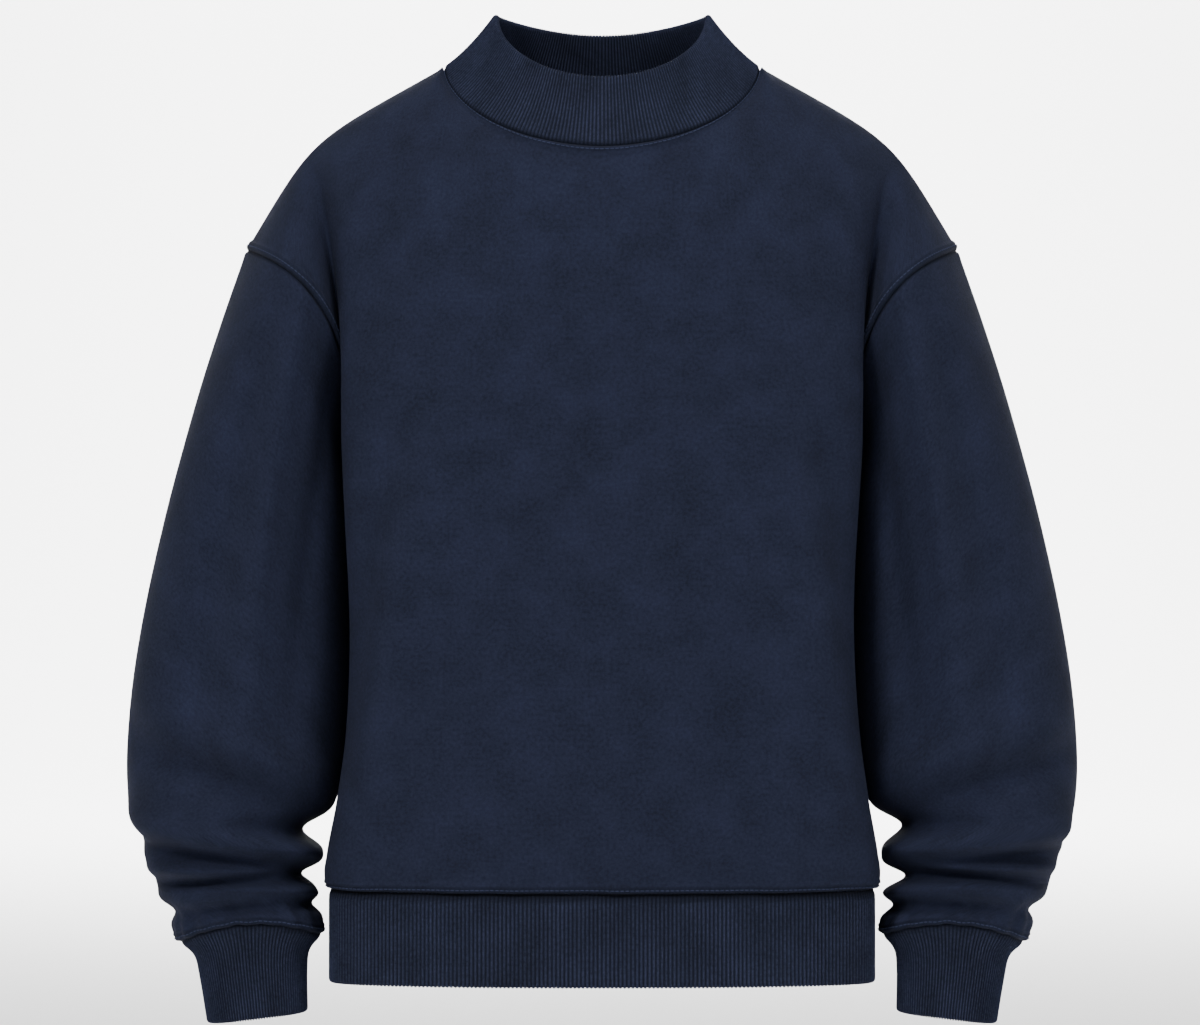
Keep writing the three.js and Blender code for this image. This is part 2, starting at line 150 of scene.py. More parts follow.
# Columns: z, edge, front, back, corner, tuck.
TORSO = np.array([
    [-270, 190.5, 121, 113, 64, 2],
    [-330, 189, 125, 112, 64, 7],
    [-415, 189, 128, 112, 62, 8],
    [-497, 192, 129, 113, 60, 8],
    [-545, 196.5, 129, 114, 58, 4],
    [-580, 201.5, 128, 115, 56, 0],
    [-597, 203, 126, 115, 54, -1],
    [HEM_SEAM_Z, 199.5, 123, 112, 52, -2],
])

SHOULDER_TIP = (263.4, -134.7)
UNDERARM = (188.5, UNDERARM_Z)
SHOULDER_CURVE = np.array([[NECK_HALF_WIDTH, 0], [220, -56.5], [212.6, -49.8], SHOULDER_TIP])
ARMHOLE_CURVE = np.array([SHOULDER_TIP, [240, -145], [178, -168], UNDERARM])

# Columns: outer x, outer z, inner x, inner z, middle y, front depth, back depth.
SLEEVE = np.array([
    [263.4, -134.7, 188.5, -270, 5, 82, 78],
    [281.6, -186.5, 194, -302, 6, 80, 78],
    [298, -237, 189, -335, 8, 79, 78],
    [313, -290, 187, -372, 10, 78, 78],
    [326.3, -342, 186, -410, 11, 78, 78],
    [338, -395, 186, -447, 11, 79, 78],
    [346.5, -445, 187, -480, 9, 80, 77],
    [351, -492, 190.5, -512, 5, 79, 75],
    [351, -530, 197, -543, 0, 76, 71],
    [345, -567, 204, -571, -6, 70, 65],
    [333, -592, 206, -592, -11, 64, 59],
    [325, -617, 205, -614, -15, 58, 53],
    [311, -645.3, 206, -639.4, -19, 46, 42],
])
CUFF = np.array([
    [311, -645.3, 206, -639.4, -19, 46, 42],
    [300, -654.5, 215.5, -650, -20, 38, 35],
    [295.5, -672, 217.5, -666, -22, 33, 31],
    [290, -704, 217, -695.5, -25, 30, 29],
])


@dataclass(frozen=True)
class RoundFold:
    """A fold that runs round the lower sleeve.

    start: share of the sleeve where it begins. angle: degrees round from the outer line, negative to
    the front. sweep: degrees it runs on. fall: mm it runs down. depth and width: mm. lip: height of
    the ridge above it, as a share of its depth.
    """

    start: float
    angle: float
    sweep: float
    fall: float
    depth: float
    width: float
    lip: float = 0.0


@dataclass(frozen=True)
class LongFold:
    """A soft fold that runs down the cloth, from (at, start) to (to, end), in the piece's own measure.

    height: mm out of the cloth, negative for a trough. width: mm from its middle to where it fades.
    """

    at: float
    start: float
    to: float
    end: float
    height: float
    width: float


LEFT_FOLDS = (
    RoundFold(0.715, -80, -190, 2, 20, 15),
    RoundFold(0.845, -70, -180, 3, 16, 12),
    RoundFold(0.925, -50, -200, 4, 11, 9),
    RoundFold(0.73, -25, 210, 20, 9, 14),
    RoundFold(0.86, 20, 190, 6, 9, 12),
    RoundFold(0.925, 45, -90, 2, 9, 9),
    RoundFold(0.60, -8, -172, 52, 10, 17, 0.5),
    RoundFold(0.775, 6, -180, 22, 13, 12, 0.6),
    RoundFold(0.865, -2, -150, -14, 10, 9, 0.6),
    RoundFold(0.945, -34, -120, 2, 8, 7, 0.5),
    RoundFold(0.69, 40, 130, 14, 9, 13, 0.6),
    RoundFold(0.80, 30, 140, 18, 10, 11, 0.6),
    RoundFold(0.94, 25, 140, 2, 7, 7, 0.5),
)
RIGHT_FOLDS = (
    RoundFold(0.725, -84, -185, 0, 19, 15),
    RoundFold(0.84, -64, -185, 4, 17, 12),
    RoundFold(0.92, -54, -195, 5, 10, 9),
    RoundFold(0.75, -30, 205, 16, 9, 14),
    RoundFold(0.87, 15, 195, 8, 8, 12),
    RoundFold(0.93, 40, -85, 2, 8, 9),
    RoundFold(0.585, -14, -166, 62, 10, 17, 0.5),
    RoundFold(0.76, 2, -178, 34, 13, 12, 0.6),
    RoundFold(0.865, 6, -160, 2, 10.5, 9, 0.6),
    RoundFold(0.95, -24, -125, -2, 8, 7, 0.5),
    RoundFold(0.70, 44, 120, 10, 9, 13, 0.6),
    RoundFold(0.815, 26, 145, 12, 10, 11, 0.6),
    RoundFold(0.945, 20, 140, 2, 7, 7, 0.5),
)
# at and to are shares round the sleeve, start and end shares of its length.
SLEEVE_LONG_FOLDS = (
    LongFold(-0.50, 0.0, -0.54, 0.66, 6.0, 15),
    LongFold(-0.36, 0.02, -0.40, 0.70, -6.0, 17),
    LongFold(-0.74, 0.02, -0.66, 0.56, -6.0, 15),
    LongFold(0.40, 0.04, 0.44, 0.64, -5.0, 17),
    LongFold(0.60, 0.04, 0.56, 0.66, 4.5, 15),
)
# at and to are x, start and end are z.
FRONT_FOLDS = (
    LongFold(-112, -225, -190, -600, 7.5, 21),
    LongFold(-146, -250, -214, -590, -6.5, 18),
    LongFold(122, -225, 192, -598, 7.0, 21),
    LongFold(155, -250, 216, -590, -6.0, 18),
    LongFold(-46, -300, -54, -580, -4.0, 28),
    LongFold(76, -360, 88, -600, -4.6, 25),
    LongFold(16, -240, 28, -560, 2.6, 34),
    LongFold(-150, -70, -178, -240, -2.6, 17),
    LongFold(152, -70, 180, -235, -2.6, 17),
    LongFold(-90, -470, -104, -596, -1.8, 15),
    LongFold(128, -490, 136, -598, 1.8, 15),
)
BACK_FOLDS = (
    LongFold(-96, -200, -176, -598, 6.5, 24),
    LongFold(-134, -240, -200, -590, -6.0, 19),
    LongFold(104, -220, 180, -598, 6.5, 22),
    LongFold(142, -250, 202, -590, -6.0, 19),
    LongFold(-22, -260, -30, -590, -4.0, 30),
    LongFold(52, -340, 60, -590, -2.0, 24),
    LongFold(-148, -80, -172, -250, -2.6, 18),
    LongFold(150, -78, 176, -250, -2.6, 18),
)

# ---------------------------------------------------------------- small mathematics


def mix(a: Array, b: Array, share: Array) -> Array:
    """Returns the value a share of the way from a to b."""
    return a + (b - a) * share


def ease(value: Array) -> Array:
    """Returns a smooth step from 0 at 0 to 1 at 1."""
    t = np.clip(value, 0.0, 1.0)
    return t * t * (3 - 2 * t)


def lift(share: Array, point: Array) -> Array:
    """Returns a share shaped so that it multiplies points."""
    return np.asarray(share)[..., None] * point


def cubic(controls: Array, t: Array) -> Array:
    """Finds points on a cubic curve.

    Args:
        controls: four points; the curve ends on the first and the last.
        t: 0 at the first and 1 at the last.

    Returns:
        The points.
    """
    t = np.asarray(t, float)[..., None]
    u = 1 - t
    return (u ** 3 * controls[0] + 3 * u * u * t * controls[1] + 3 * u * t * t * controls[2]
            + t ** 3 * controls[3])


def table_at(table: Array, position: Array) -> Array:
    """Reads smooth values between the rows of a table.

    Args:
        table: the rows.
        position: places counted in rows.

    Returns:
        A row for each position.
    """
    last = len(table) - 1
    i = np.clip(np.floor(position).astype(int), 0, last - 1)
    t = (position - i)[..., None]
    a, b, c, d = (table[np.clip(i + k, 0, last)] for k in (-1, 0, 1, 2))
    return ((2 * t ** 3 - 3 * t ** 2 + 1) * b + (t ** 3 - 2 * t ** 2 + t) * (c - a) / 2
            + (3 * t ** 2 - 2 * t ** 3) * c + (t ** 3 - t ** 2) * (d - b) / 2)


def xyz(x: Array, y: Array, z: Array) -> Array:
    """Returns points from their three coordinates."""
    return np.stack(np.broadcast_arrays(x, y, z), axis=-1).astype(float)


# ---------------------------------------------------------------- seams and surfaces


def neck_seam(side: Side, turn: Array) -> Array:
    """Finds the collar seam.

    Args:
        side: front or back.
        turn: 0 at the centre of the side and 1 at the shoulder.

    Returns:
        Points in mm.
    """
    angle = np.clip(turn, 0, 1) * math.pi / 2
    power = 2 / NECK_ROUNDNESS
    cosine = np.maximum(np.cos(angle), 0)
    return xyz(NECK_HALF_WIDTH * np.sin(angle) ** power,
               SIDE_Y + side.toward * side.neck_depth * cosine,
               -side.neck_drop * cosine ** power)


def collar_rim(side: Side, turn: Array) -> Array:
    """Finds the free edge of the collar.

    Args:
        side: front or back.
        turn: 0 at the centre of the side and 1 at the shoulder, as on the seam.

    Returns:
        Points in mm.
    """
    angle = np.clip(turn, 0, 1) * math.pi / 2
    cosine = np.maximum(np.cos(angle), 0)
    return xyz(RIM_HALF_WIDTH * np.sin(angle),
               RIM_Y + side.toward * side.rim_depth * cosine,
               RIM_SIDE_Z - side.rim_drop * cosine ** side.rim_peak)


def shoulder_seam(share: Array) -> Array:
    """Returns the shoulder seam, from the collar at 0 to the tip of the shoulder at 1."""
    curve = cubic(SHOULDER_CURVE, np.clip(share, 0, 1))
    return xyz(curve[..., 0], SIDE_Y, curve[..., 1])


def armhole(side: Side, share: Array) -> Array:
    """Finds half of an armhole.

    Args:
        side: front or back.
        share: 0 at the tip of the shoulder and 1 at the underarm.

    Returns:
        Points in mm.
    """
    curve = cubic(ARMHOLE_CURVE, share)
    out = np.maximum(np.sin(math.pi * np.asarray(share) ** side.arm_turn), 0)
    return xyz(curve[..., 0], SIDE_Y + side.toward * side.arm_depth * out, curve[..., 1])


def torso_point(side: Side, across: Array, z: Array) -> Array:
    """Finds points of the body below the underarm, on level sections.

    Args:
        side: front or back.
        across: 0 at the centre of the side and 1 at its side seam.
        z: height in mm.

    Returns:
        Points in mm.
    """
    across, z = np.broadcast_arrays(np.asarray(across, float), np.asarray(z, float))
    row = table_at(TORSO, np.interp(-z, -TORSO[:, 0], np.arange(len(TORSO))))
    edge, corner, tuck = row[..., 1], row[..., 4], row[..., 5]
    depth = row[..., 2] if side.toward < 0 else row[..., 3]
    reach = np.sin(math.pi / 2 * np.clip(across / CORNER_SHARE, 0, 1))
    fall = np.maximum(1 - reach ** SECTION_ROUNDNESS, 0) ** (1 / SECTION_ROUNDNESS)
    past = np.clip((across - CORNER_SHARE) / (1 - CORNER_SHARE), 0, 1)
    x = edge * reach - tuck * np.sin(math.pi / 2 * past) ** 2
    y = (corner + (depth - corner) * fall) * (1 - past)
    return xyz(x, SIDE_Y + side.toward * y, z)


def yoke_column(side: Side, across: Array, rise: Array) -> Array:
    """Finds points of columns that curve up from the underarm to the collar or shoulder seam.

    Args:
        side: front or back.
        across: 0 at the centre of the side and 1 at its side seam.
        rise: 0 at the underarm and 1 at the seam.

    Returns:
        Points in mm.
    """
    low = torso_point(side, across, UNDERARM_Z)
    on_neck = across < NECK_SHARE
    high = np.where(on_neck[..., None], neck_seam(side, across / NECK_SHARE),
                    shoulder_seam((across - NECK_SHARE) / (1 - NECK_SHARE)))
    last = np.radians(mix(side.neck_slope, SHOULDER_SLOPE, ease(across / NECK_SHARE)))
    power = 2 / YOKE_ROUNDNESS
    angle = rise * last
    back = (1 - np.cos(angle) ** power) / (1 - np.cos(last) ** power)
    up = (np.sin(angle) / np.sin(last)) ** power
    return xyz(mix(low[..., 0], high[..., 0], rise ** 2), mix(low[..., 1], high[..., 1], back),
               mix(low[..., 2], high[..., 2], up))


def yoke_point(side: Side, across: Array, rise: Array) -> Array:
    """Finds the body above the underarm: the chest, a valley, and the cap over the upper arm.

    Args:
        side: front or back.
        across: 0 at the centre of the side and 1 at its side seam.
        rise: 0 at the underarm and 1 at the collar or shoulder seam.

    Returns:
        Points in mm.
    """
    across, rise = np.broadcast_arrays(np.asarray(across, float), np.asarray(rise, float))
    chest = yoke_column(side, np.minimum(across, CORNER_SHARE), rise)
    past = np.clip((across - CORNER_SHARE) / (1 - CORNER_SHARE), 0, 1)
    corner_on_seam = (CORNER_SHARE - NECK_SHARE) / (1 - NECK_SHARE)
    first, tip = shoulder_seam(corner_on_seam), shoulder_seam(1.0)
    top = shoulder_seam((across - NECK_SHARE) / (1 - NECK_SHARE)) - mix(first, tip, past[..., None])
    corner = torso_point(side, CORNER_SHARE, UNDERARM_Z)
    underarm = torso_point(side, 1.0, UNDERARM_Z)
    low = torso_point(side, across, UNDERARM_Z) - mix(corner, underarm, past[..., None])
    cap = mix(chest, armhole(side, 1 - rise), past[..., None])
    cap = cap + lift(ease(rise), top) + lift(1 - ease(rise), low)
    valley = side.valley * ease(rise / VALLEY_RISE) * ease((VALLEY_END - rise) / VALLEY_FALL)
    swell = side.cap * np.sin(math.pi * rise) * np.sin(math.pi * past) * ease(rise / CAP_RISE)
    cap[..., 1] += side.toward * (swell - valley * VALLEY_SCALE * past * (1 - past) ** 2)
    return np.where((across <= CORNER_SHARE)[..., None], chest, cap)


def ring_point(row: Array, around: Array) -> Array:
    """Finds points of a ring of the sleeve or cuff.

    Args:
        row: a row of SLEEVE or CUFF for each point.
        around: 0 on the outer line and 1 or -1 on the inner, negative in front.

    Returns:
        Points in mm.
    """
    share = np.abs(around)
    across = (1 - np.cos(math.pi * share)) / 2
    front = around <= 0
    depth = np.where(front, -row[..., 5], row[..., 6])
    out = np.maximum(np.sin(math.pi * share), 0) ** SLEEVE_ROUNDNESS
    return xyz(mix(row[..., 0], row[..., 2], across), row[..., 4] + depth * out,
               mix(row[..., 1], row[..., 3], across))


def round_fold_depth(folds: Sequence[RoundFold], along: Array, around: Array) -> Array:
    """Adds up the round folds at places on a sleeve.

    Args:
        folds: the folds.
        along: 0 at the armhole and 1 at the cuff.
        around: 0 on the outer line and 1 or -1 on the inner.

    Returns:
        The mm that the cloth is pressed in, less the lips above the folds.
    """
    total = np.zeros(np.broadcast(along, around).shape)
    for fold in folds:
        turned = (around * 180 - fold.angle) * np.sign(fold.sweep)
        share = np.mod(turned, 360) / abs(fold.sweep)
        off = (along - fold.start) * SLEEVE_LENGTH - fold.fall * share
        trough = np.exp(-((off / fold.width) ** 2))
        lip = np.exp(-(((off + LIP_ABOVE * fold.width) / (LIP_WIDTH * fold.width)) ** 2))
        reach = np.where(share <= 1, np.sin(math.pi * np.clip(share, 0, 1)) ** FOLD_FULLNESS, 0)
        total = total + fold.depth * reach * (trough - fold.lip * lip)
    return total


def long_fold_height(folds: Sequence[LongFold], side: Array, down: Array, scale: float) -> Array:
    """Returns the height of the long folds.

    Args:
        folds: the folds.
        side: where each point is across the cloth, in the folds' own measure.
        down: where each point is down the cloth.
        scale: mm for one unit of side.
    """
    total = np.zeros(np.broadcast(side, down).shape)
    for fold in folds:
        share = np.clip((down - fold.start) / (fold.end - fold.start), 0, 1)
        bend = FOLD_BEND * (fold.to - fold.at) * np.sin(2 * math.pi * share)
        middle = mix(fold.at, fold.to, share) + bend
        off = (side - middle) * scale
        full = np.sin(math.pi * share) ** FOLD_FULLNESS
        total = total + fold.height * full * np.exp(-((off / fold.width) ** 2))
    return total


def sleeve_point(folds: Sequence[RoundFold], along: Array, around: Array) -> Array:
    """Finds points of the sleeve on the wearer's left.

    Args:
        folds: its round folds.
        along: 0 at the armhole and 1 at the cuff seam.
        around: 0 on the outer line and 1 or -1 on the inner.

    Returns:
        Points in mm.
    """
    along, around = np.broadcast_arrays(along, around)
    row = table_at(SLEEVE, along * (len(SLEEVE) - 1))
    point = ring_point(row, around)
    share = np.abs(around)
    seam = np.where((around <= 0)[..., None], armhole(FRONT, share), armhole(BACK, share))
    first = ring_point(np.broadcast_to(SLEEVE[0], row.shape), around)
    point = point + lift(ease(1 - along / ARMHOLE_FADE), seam - first)
    point[..., 2] += CUFF_SEAM_RISE * np.sin(math.pi * share) ** 2 * ease((along - 0.8) / 0.2)
    middle = xyz((row[..., 0] + row[..., 2]) / 2, row[..., 4], (row[..., 1] + row[..., 3]) / 2)
    inward = middle - point
    inward /= np.linalg.norm(inward, axis=-1, keepdims=True)
    depth = round_fold_depth(folds, along, around) * ease((1 - along) / 0.05)
    depth = depth - long_fold_height(SLEEVE_LONG_FOLDS, around, along, HALF_GIRTH)
    return point + lift(depth, inward)


def cuff_point(along: Array, around: Array) -> Array:
    """Finds points of the cuff on the wearer's left.

    Args:
        along: 0 at its seam and 1 at its free edge.
        around: 0 on the outer line and 1 or -1 on the inner.

    Returns:
        Points in mm.
    """
    along, around = np.broadcast_arrays(along, around)
    point = ring_point(table_at(CUFF, along * (len(CUFF) - 1)), around)
    point[..., 2] += CUFF_SEAM_RISE * np.sin(math.pi * np.abs(around)) ** 2 * ease(1 - along / 0.5)
    return point


def collar_point(side: Side, turn: Array, rise: Array) -> Array:
    """Finds points of the collar.

    Args:
        side: front or back.
        turn: 0 at the centre of the side and 1 at the shoulder.
        rise: 0 at its seam and 1 at its rim.

    Returns:
        Points in mm.
    """
    seam, rim = neck_seam(side, turn), collar_rim(side, turn)
    bend = (seam + rim) / 2 - np.array([0, 0, COLLAR_HOLLOW])
    t = np.asarray(rise, float)[..., None]
    return (1 - t) ** 2 * seam + 2 * (1 - t) * t * bend + t * t * rim


# ---------------------------------------------------------------- grids of cloth


@dataclass
class Cloth:
    """A grid of points on the outer face of a piece, rows by columns, with its outward normals."""

    points: Array
    closed: bool
    turned: bool = False
    normals: Array = field(init=False)

    def __post_init__(self) -> None:
        """Works out the normals."""
        self.refresh()

    def refresh(self) -> None:
        """Works out the outward normals from the neighbours of each point."""
        p = self.points
        if self.closed:
            across = np.roll(p, -1, axis=1) - np.roll(p, 1, axis=1)
        else:
            across = np.gradient(p, axis=1)
        up = np.gradient(p, axis=0)
        normal = np.cross(across, up)
        length = np.linalg.norm(normal, axis=-1, keepdims=True)
        self.normals = normal / np.maximum(length, 1e-9) * (-1 if self.turned else 1)

    def raise_by(self, height: Array) -> None:
        """Moves each point out along its normal by a height in mm."""
        self.points = self.points + lift(height, self.normals)
        self.refresh()

    def along_rows(self) -> Array:
        """Returns the mm from the first column of each row."""
        step = np.linalg.norm(np.diff(self.points, axis=1), axis=-1)
        return np.concatenate([np.zeros((len(step), 1)), np.cumsum(step, axis=1)], axis=1)

    def along_columns(self) -> Array:
        """Returns the mm from the first row of each column."""
        step = np.linalg.norm(np.diff(self.points, axis=0), axis=-1)
        return np.concatenate([np.zeros((1, step.shape[1])), np.cumsum(step, axis=0)], axis=0)

    def mirrored(self) -> "Cloth":
        """Returns the same cloth on the other side of the garment."""
        return Cloth(self.points * np.array([-1, 1, 1]), self.closed, not self.turned)


def seam_profile(distance: Array, ridge: float) -> Array:
    """Shapes the cloth beside a seam: a groove, then the ridge of the turned allowance.

    Args:
        distance: mm from the seam.
        ridge: height of the ridge in mm.

    Returns:
        Height in mm.
    """
    groove = -GROOVE_DEPTH * np.exp(-((distance / GROOVE_WIDTH) ** 2))
    band = ridge * ease(distance / RIDGE_RISE) * ease((RIDGE_END - distance) / RIDGE_FALL)
    pulled_in = PULL_SHARE * ridge * np.exp(-(((distance - TOPSTITCH_FROM_SEAM) / PULL_WIDTH) ** 2))
    return groove + band - pulled_in


def seam_shade(distance: Array) -> Array:
    """Returns how much painted shade darkens the cloth's colour in a seam, from its distance in mm."""
    return SEAM_SHADE * np.exp(-((distance / SEAM_SHADE_WIDTH) ** 2))


def seam_painted_light(distance: Array) -> Array:
    """Returns the painted light of the cloth beside a seam: painted shade darkens its colour in the seam
    and under its stitches.
    """
    painted_shade_under_stitches = STITCH_SHADE * np.exp(-(((distance - TOPSTITCH_FROM_SEAM) / STITCH_SHADE_WIDTH) ** 2))
    return np.clip(1 - seam_shade(distance) - painted_shade_under_stitches, 0, 1)


def wall_mesh(name: str, cloth: Cloth, wall: float, painted_light: Array) -> bpy.types.Object:
    """Makes a closed wall from a grid of cloth.

    Args:
        name: name of the piece.
        cloth: outer face.
        wall: thickness in mm.
        painted_light: painted shade for each point of the grid, from 0 where a groove is painted darkest
            to 1 on open cloth.

    Returns:
        The new object, in metres, with a UV map in metres of cloth.
    """
    rows, columns = cloth.points.shape[:2]
    inner = cloth.points - wall * cloth.normals
    points = np.concatenate([cloth.points.reshape(-1, 3), inner.reshape(-1, 3)]) * MM
    index = np.arange(rows * columns).reshape(rows, columns)
    if cloth.closed:
        index = np.concatenate([index, index[:, :1]], axis=1)
    quads = np.stack([index[:-1, :-1], index[:-1, 1:], index[1:, 1:], index[1:, :-1]], axis=-1)
    outer = quads.reshape(-1, 4)
    half = rows * columns
    faces = [outer, outer[:, ::-1] + half]

    def strip(edge: Array) -> Array:
        """Returns quads that join the outer and inner faces along an edge."""
        a, b = edge[:-1], edge[1:]
        return np.stack([b, a, a + half, b + half], axis=-1)

    faces += [strip(index[0]), strip(index[-1][::-1])]
    if not cloth.closed:
        faces += [strip(index[::-1, 0]), strip(index[:, -1])]
    painted_light_points = np.tile(np.broadcast_to(painted_light, (rows, columns)).ravel(), 2)
    return mesh_object(name, points, np.concatenate(faces), cloth.turned, cloth_uv(cloth), painted_light_points)


def cloth_uv(cloth: Cloth) -> Array:
    """Lays the cloth out flat.

    Args:
        cloth: the grid.

    Returns:
        Each point's place in metres, for both faces of a wall.
    """
    across = cloth.along_rows()
    across = across - across[:, across.shape[1] // 2][:, None]
    flat = np.stack([across, cloth.along_columns()], axis=-1).reshape(-1, 2) * MM
    return np.concatenate([flat, flat])


def mesh_object(name: str, points: Array, quads: Array, turned: bool, uv: Array,
                painted_light: Optional[Array] = None) -> bpy.types.Object:
    """Makes a smooth mesh object.

    Args:
        name: name of the piece.
        points: places in metres.
        quads: four point numbers for each face.
        turned: whether the faces have to be turned over.
        uv: a place in the flat cloth for each point, in metres.
        painted_light: painted shade for each point, from 0 where a groove is painted darkest to 1 on open
            cloth; all 1 if left out.

    Returns:
        The new object.
    """
    if turned:
        quads = quads[:, ::-1]
    mesh = bpy.data.meshes.new(name)
    mesh.vertices.add(len(points))
    mesh.vertices.foreach_set("co", points.astype(np.float32).ravel())
    mesh.loops.add(quads.size)
    mesh.loops.foreach_set("vertex_index", quads.astype(np.int32).ravel())
    mesh.polygons.add(len(quads))
    mesh.polygons.foreach_set("loop_start", np.arange(0, quads.size, 4, dtype=np.int32))
    layer = mesh.uv_layers.new(name="cloth")
    layer.data.foreach_set("uv", uv[quads.ravel()].astype(np.float32).ravel())
    # Each point keeps its painted light, which the material uses to mix in painted shade.
    share = mesh.attributes.new("painted_light", "FLOAT", "POINT")
    values = np.ones(len(points)) if painted_light is None else painted_light
    share.data.foreach_set("value", values.astype(np.float32))
    mesh.update(calc_edges=True)
    mesh.validate()
    mesh.polygons.foreach_set("use_smooth", np.ones(len(mesh.polygons), dtype=bool))
    piece = bpy.data.objects.new(name, mesh)
    bpy.context.scene.collection.objects.link(piece)
    return piece


# ---------------------------------------------------------------- finishes


def linear(colour: str) -> Tuple[float, float, float, float]:
    """Turns an sRGB colour into linear light.

    Args:
        colour: a hex value such as "#262b3d".

    Returns:
        Red, green, blue and a full alpha.
    """
    parts = [int(colour[i:i + 2], 16) / 255 for i in (1, 3, 5)]
    light = [c / 12.92 if c <= 0.04045 else ((c + 0.055) / 1.055) ** 2.4 for c in parts]
    return (light[0], light[1], light[2], 1.0)


def add_node(tree: bpy.types.NodeTree, kind: str, settings: Optional[Dict[str, Any]] = None,
             links: Optional[Dict[Any, bpy.types.NodeSocket]] = None) -> bpy.types.Node:
    """Adds a node with its settings and links.

    Args:
        tree: the material's node tree.
        kind: type of node.
        settings: values by name, of the node or, where it has no such name, of its inputs.
        links: output sockets by the name or number of the input that each goes to.

    Returns:
        The new node.
    """
    made = tree.nodes.new(kind)
    for key, value in (settings or {}).items():
        if isinstance(key, str) and hasattr(made, key):
            setattr(made, key, value)
        else:
            made.inputs[key].default_value = value
    for key, source in (links or {}).items():
        tree.links.new(source, made.inputs[key])
    return made


@dataclass(frozen=True)
class ClothFinish:
    """A knitted cloth: its colour, the size of its loops and how its nap takes the light."""

    name: str
    colour: str
    # shade: the darker colour, both for the random mottling and for the painted shade in grooves, seams
    # and rib hollows
    shade: str
    wale: float  # mm between columns of loops
    course: float  # mm between rows of loops
    relief: float  # mm of height in the loops
    sheen: float

    def build(self) -> bpy.types.Material:
        """Returns the material."""
        material = bpy.data.materials.new(self.name)
        material.use_nodes = True
        tree = material.node_tree
        tree.nodes.clear()
        place = add_node(tree, "ShaderNodeUVMap", {"uv_map": "cloth"}).outputs["UV"]
        loops = self.loops(tree, place)
        # Soft blotches, 20 to 60 mm across, where the nap lies one way or the other.
        nap = add_node(tree, "ShaderNodeTexNoise", {"Scale": 26.0, "Detail": 4.0, "Roughness": 0.6},
                       {"Vector": place}).outputs["Fac"]
        # Tufts of brushed fibre, 2 to 3 mm across.
        tuft = add_node(tree, "ShaderNodeTexNoise", {"Scale": 380.0, "Detail": 3.0, "Roughness": 0.65},
                        {"Vector": place}).outputs["Fac"]
        # Short loose fibres, well under a millimetre.
        fibre = add_node(tree, "ShaderNodeTexNoise", {"Scale": 1700.0, "Detail": 2.0, "Roughness": 0.7},
                         {"Vector": place}).outputs["Fac"]
        # Each noise keeps near 0.5, so the sum is spread about the middle of the two colours.
        tone = add_node(tree, "ShaderNodeMath", {"operation": "MULTIPLY_ADD", 1: 1.1, 2: -0.95}, {0: nap})
        speck = add_node(tree, "ShaderNodeMath", {"operation": "MULTIPLY_ADD", 1: 1.5},
                         {0: tuft, 2: tone.outputs[0]})
        depth = add_node(tree, "ShaderNodeMath", {"operation": "MULTIPLY_ADD", 1: 0.3, "use_clamp": True},
                         {0: loops, 2: speck.outputs[0]})
        # Painted shade: the colour is pulled towards the dark shade colour in grooves, seams, rib hollows
        # and under the stitches, where shade would fall.
        painted_light = add_node(tree, "ShaderNodeAttribute", {"attribute_name": "painted_light"}).outputs["Fac"]
        tone_and_painted_shade = add_node(tree, "ShaderNodeMath", {"operation": "MULTIPLY"}, {0: depth.outputs[0], 1: painted_light})
        colour = add_node(tree, "ShaderNodeMix", {"data_type": "RGBA"}, {0: tone_and_painted_shade.outputs[0]})
        colour.inputs[6].default_value = linear(self.shade)
        colour.inputs[7].default_value = linear(self.colour)
        height = add_node(tree, "ShaderNodeMath", {"operation": "MULTIPLY_ADD", 1: 0.5},
                          {0: fibre, 2: loops})
        bump = add_node(tree, "ShaderNodeBump", {"Strength": 0.55, "Distance": self.relief * MM},
                        {"Height": height.outputs[0]})
        shader = add_node(tree, "ShaderNodeBsdfPrincipled",
                          {"Roughness": 0.94, "Specular IOR Level": 0.18, "Sheen Weight": self.sheen,
                           "Sheen Roughness": 0.55, "Sheen Tint": linear("#8d95ad")},
                          {"Base Color": colour.outputs[2], "Normal": bump.outputs[0]})
        add_node(tree, "ShaderNodeOutputMaterial", {}, {"Surface": shader.outputs[0]})
        return material

    def loops(self, tree: bpy.types.NodeTree, place: bpy.types.NodeSocket) -> bpy.types.NodeSocket:
        """Draws the knitted loops, each a V of two legs.

        Args:
            tree: the material's node tree.
            place: each point's place in the flat cloth, in metres.

        Returns:
            A height from 0 to 1.
        """
        parts = add_node(tree, "ShaderNodeSeparateXYZ", {}, {0: place})
        turn_x = 2 * math.pi / (self.wale * MM)
        turn_y = 2 * math.pi / (self.course * MM)
        x = add_node(tree, "ShaderNodeMath", {"operation": "MULTIPLY", 1: turn_x}, {0: parts.outputs[0]})
        lean = add_node(tree, "ShaderNodeMath", {"operation": "COSINE"}, {0: x.outputs[0]})
        y = add_node(tree, "ShaderNodeMath", {"operation": "MULTIPLY", 1: turn_y}, {0: parts.outputs[1]})
        slant = add_node(tree, "ShaderNodeMath", {"operation": "MULTIPLY_ADD", 1: 1.6},
                         {0: lean.outputs[0], 2: y.outputs[0]})
        leg = add_node(tree, "ShaderNodeMath", {"operation": "SINE"}, {0: slant.outputs[0]})
        half = add_node(tree, "ShaderNodeMath", {"operation": "MULTIPLY_ADD", 1: 0.5, 2: 0.5},
                        {0: leg.outputs[0]})
        return half.outputs[0]


